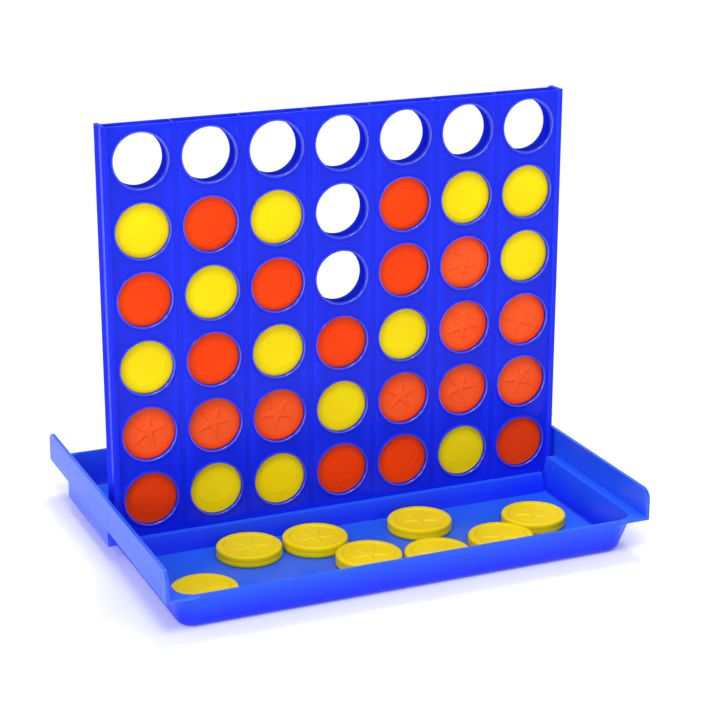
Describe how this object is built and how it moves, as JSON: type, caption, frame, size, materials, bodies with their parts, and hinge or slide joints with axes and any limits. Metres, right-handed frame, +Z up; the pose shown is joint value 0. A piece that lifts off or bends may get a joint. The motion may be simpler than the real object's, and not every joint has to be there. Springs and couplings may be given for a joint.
{
  "type": "four in a row game",
  "caption": "Upright game board with columns of round windows, standing on a ledge in a shallow tray; discs dropped in at the top stack up, and lifting the board off frees them.",
  "frame": {"origin": "on the table, below the middle of the tray", "axes": "+X along the board to its right end, +Y from the front panel to the back panel, +Z up"},
  "size_m": [0.259, 0.204, 0.2246],
  "materials": {
    "tray_blue": "glossy moulded royal blue plastic, slightly translucent",
    "board_blue": "glossy moulded royal blue plastic, slightly translucent",
    "red_disc": "satin orange-red moulded plastic",
    "yellow_disc": "satin yellow moulded plastic"
  },
  "bodies": {
    "tray": {"tray": "tray_blue"},
    "board": {"front_panel": "board_blue", "back_panel": "board_blue", "left_end_rail": "board_blue", "right_end_rail": "board_blue", "divider_rib_1": "board_blue", "divider_rib_2": "board_blue", "divider_rib_3": "board_blue", "divider_rib_4": "board_blue", "divider_rib_5": "board_blue", "divider_rib_6": "board_blue"},
    "disc_a1": {"red_disc_a1": "red_disc"},
    "disc_a2": {"red_disc_a2": "red_disc"},
    "disc_a3": {"yellow_disc_a3": "yellow_disc"},
    "disc_a4": {"red_disc_a4": "red_disc"},
    "disc_a5": {"yellow_disc_a5": "yellow_disc"},
    "disc_b1": {"yellow_disc_b1": "yellow_disc"},
    "disc_b2": {"red_disc_b2": "red_disc"},
    "disc_b3": {"red_disc_b3": "red_disc"},
    "disc_b4": {"yellow_disc_b4": "yellow_disc"},
    "disc_b5": {"red_disc_b5": "red_disc"},
    "disc_c1": {"yellow_disc_c1": "yellow_disc"},
    "disc_c2": {"red_disc_c2": "red_disc"},
    "disc_c3": {"yellow_disc_c3": "yellow_disc"},
    "disc_c4": {"red_disc_c4": "red_disc"},
    "disc_c5": {"yellow_disc_c5": "yellow_disc"},
    "disc_d1": {"red_disc_d1": "red_disc"},
    "disc_d2": {"yellow_disc_d2": "yellow_disc"},
    "disc_d3": {"red_disc_d3": "red_disc"},
    "disc_e1": {"red_disc_e1": "red_disc"},
    "disc_e2": {"red_disc_e2": "red_disc"},
    "disc_e3": {"yellow_disc_e3": "yellow_disc"},
    "disc_e4": {"red_disc_e4": "red_disc"},
    "disc_e5": {"red_disc_e5": "red_disc"},
    "disc_f1": {"yellow_disc_f1": "yellow_disc"},
    "disc_f2": {"red_disc_f2": "red_disc"},
    "disc_f3": {"red_disc_f3": "red_disc"},
    "disc_f4": {"red_disc_f4": "red_disc"},
    "disc_f5": {"yellow_disc_f5": "yellow_disc"},
    "disc_g1": {"red_disc_g1": "red_disc"},
    "disc_g2": {"red_disc_g2": "red_disc"},
    "disc_g3": {"red_disc_g3": "red_disc"},
    "disc_g4": {"yellow_disc_g4": "yellow_disc"},
    "disc_g5": {"yellow_disc_g5": "yellow_disc"},
    "loose_disc_1": {"loose_yellow_disc_1": "yellow_disc"},
    "loose_disc_2": {"loose_yellow_disc_2": "yellow_disc"},
    "loose_disc_3": {"loose_yellow_disc_3": "yellow_disc"},
    "loose_disc_4": {"loose_yellow_disc_4": "yellow_disc"},
    "loose_disc_5": {"loose_yellow_disc_5": "yellow_disc"},
    "loose_disc_6": {"loose_yellow_disc_6": "yellow_disc"},
    "loose_disc_7": {"loose_yellow_disc_7": "yellow_disc"},
    "loose_disc_8": {"loose_yellow_disc_8": "yellow_disc"},
    "loose_disc_9": {"loose_red_disc_9": "red_disc"}
  },
  "joints": [
    {"name": "board_lift", "type": "slide", "parent": "tray", "child": "board", "axis": [0, 0, 1], "range_m": [0, 0.04]},
    {"name": "disc_a1_slide", "type": "slide", "parent": "tray", "child": "disc_a1", "axis": [0, 0, 1], "range_m": [0, 0.214]},
    {"name": "disc_a2_slide", "type": "slide", "parent": "disc_a1", "child": "disc_a2", "axis": [0, 0, 1], "range_m": [0, 0.179]},
    {"name": "disc_a3_slide", "type": "slide", "parent": "disc_a2", "child": "disc_a3", "axis": [0, 0, 1], "range_m": [0, 0.145]},
    {"name": "disc_a4_slide", "type": "slide", "parent": "disc_a3", "child": "disc_a4", "axis": [0, 0, 1], "range_m": [0, 0.111]},
    {"name": "disc_a5_slide", "type": "slide", "parent": "disc_a4", "child": "disc_a5", "axis": [0, 0, 1], "range_m": [0, 0.077]},
    {"name": "disc_b1_slide", "type": "slide", "parent": "tray", "child": "disc_b1", "axis": [0, 0, 1], "range_m": [0, 0.214]},
    {"name": "disc_b2_slide", "type": "slide", "parent": "disc_b1", "child": "disc_b2", "axis": [0, 0, 1], "range_m": [0, 0.179]},
    {"name": "disc_b3_slide", "type": "slide", "parent": "disc_b2", "child": "disc_b3", "axis": [0, 0, 1], "range_m": [0, 0.145]},
    {"name": "disc_b4_slide", "type": "slide", "parent": "disc_b3", "child": "disc_b4", "axis": [0, 0, 1], "range_m": [0, 0.111]},
    {"name": "disc_b5_slide", "type": "slide", "parent": "disc_b4", "child": "disc_b5", "axis": [0, 0, 1], "range_m": [0, 0.077]},
    {"name": "disc_c1_slide", "type": "slide", "parent": "tray", "child": "disc_c1", "axis": [0, 0, 1], "range_m": [0, 0.214]},
    {"name": "disc_c2_slide", "type": "slide", "parent": "disc_c1", "child": "disc_c2", "axis": [0, 0, 1], "range_m": [0, 0.179]},
    {"name": "disc_c3_slide", "type": "slide", "parent": "disc_c2", "child": "disc_c3", "axis": [0, 0, 1], "range_m": [0, 0.145]},
    {"name": "disc_c4_slide", "type": "slide", "parent": "disc_c3", "child": "disc_c4", "axis": [0, 0, 1], "range_m": [0, 0.111]},
    {"name": "disc_c5_slide", "type": "slide", "parent": "disc_c4", "child": "disc_c5", "axis": [0, 0, 1], "range_m": [0, 0.077]},
    {"name": "disc_d1_slide", "type": "slide", "parent": "tray", "child": "disc_d1", "axis": [0, 0, 1], "range_m": [0, 0.214]},
    {"name": "disc_d2_slide", "type": "slide", "parent": "disc_d1", "child": "disc_d2", "axis": [0, 0, 1], "range_m": [0, 0.179]},
    {"name": "disc_d3_slide", "type": "slide", "parent": "disc_d2", "child": "disc_d3", "axis": [0, 0, 1], "range_m": [0, 0.145]},
    {"name": "disc_e1_slide", "type": "slide", "parent": "tray", "child": "disc_e1", "axis": [0, 0, 1], "range_m": [0, 0.214]},
    {"name": "disc_e2_slide", "type": "slide", "parent": "disc_e1", "child": "disc_e2", "axis": [0, 0, 1], "range_m": [0, 0.179]},
    {"name": "disc_e3_slide", "type": "slide", "parent": "disc_e2", "child": "disc_e3", "axis": [0, 0, 1], "range_m": [0, 0.145]},
    {"name": "disc_e4_slide", "type": "slide", "parent": "disc_e3", "child": "disc_e4", "axis": [0, 0, 1], "range_m": [0, 0.111]},
    {"name": "disc_e5_slide", "type": "slide", "parent": "disc_e4", "child": "disc_e5", "axis": [0, 0, 1], "range_m": [0, 0.077]},
    {"name": "disc_f1_slide", "type": "slide", "parent": "tray", "child": "disc_f1", "axis": [0, 0, 1], "range_m": [0, 0.214]},
    {"name": "disc_f2_slide", "type": "slide", "parent": "disc_f1", "child": "disc_f2", "axis": [0, 0, 1], "range_m": [0, 0.179]},
    {"name": "disc_f3_slide", "type": "slide", "parent": "disc_f2", "child": "disc_f3", "axis": [0, 0, 1], "range_m": [0, 0.145]},
    {"name": "disc_f4_slide", "type": "slide", "parent": "disc_f3", "child": "disc_f4", "axis": [0, 0, 1], "range_m": [0, 0.111]},
    {"name": "disc_f5_slide", "type": "slide", "parent": "disc_f4", "child": "disc_f5", "axis": [0, 0, 1], "range_m": [0, 0.077]},
    {"name": "disc_g1_slide", "type": "slide", "parent": "tray", "child": "disc_g1", "axis": [0, 0, 1], "range_m": [0, 0.214]},
    {"name": "disc_g2_slide", "type": "slide", "parent": "disc_g1", "child": "disc_g2", "axis": [0, 0, 1], "range_m": [0, 0.179]},
    {"name": "disc_g3_slide", "type": "slide", "parent": "disc_g2", "child": "disc_g3", "axis": [0, 0, 1], "range_m": [0, 0.145]},
    {"name": "disc_g4_slide", "type": "slide", "parent": "disc_g3", "child": "disc_g4", "axis": [0, 0, 1], "range_m": [0, 0.111]},
    {"name": "disc_g5_slide", "type": "slide", "parent": "disc_g4", "child": "disc_g5", "axis": [0, 0, 1], "range_m": [0, 0.077]},
    {"name": "loose_disc_1_lift", "type": "slide", "parent": "tray", "child": "loose_disc_1", "axis": [0, 0, 1], "range_m": [0, 0.05]},
    {"name": "loose_disc_2_lift", "type": "slide", "parent": "tray", "child": "loose_disc_2", "axis": [0, 0, 1], "range_m": [0, 0.05]},
    {"name": "loose_disc_3_lift", "type": "slide", "parent": "tray", "child": "loose_disc_3", "axis": [0, 0, 1], "range_m": [0, 0.05]},
    {"name": "loose_disc_4_lift", "type": "slide", "parent": "tray", "child": "loose_disc_4", "axis": [0, 0, 1], "range_m": [0, 0.05]},
    {"name": "loose_disc_5_lift", "type": "slide", "parent": "tray", "child": "loose_disc_5", "axis": [0, 0, 1], "range_m": [0, 0.05]},
    {"name": "loose_disc_6_lift", "type": "slide", "parent": "tray", "child": "loose_disc_6", "axis": [0, 0, 1], "range_m": [0, 0.05]},
    {"name": "loose_disc_7_lift", "type": "slide", "parent": "tray", "child": "loose_disc_7", "axis": [0, 0, 1], "range_m": [0, 0.05]},
    {"name": "loose_disc_8_lift", "type": "slide", "parent": "tray", "child": "loose_disc_8", "axis": [0, 0, 1], "range_m": [0, 0.05]},
    {"name": "loose_disc_9_lift", "type": "slide", "parent": "tray", "child": "loose_disc_9", "axis": [0, 0, 1], "range_m": [0, 0.05]}
  ]
}
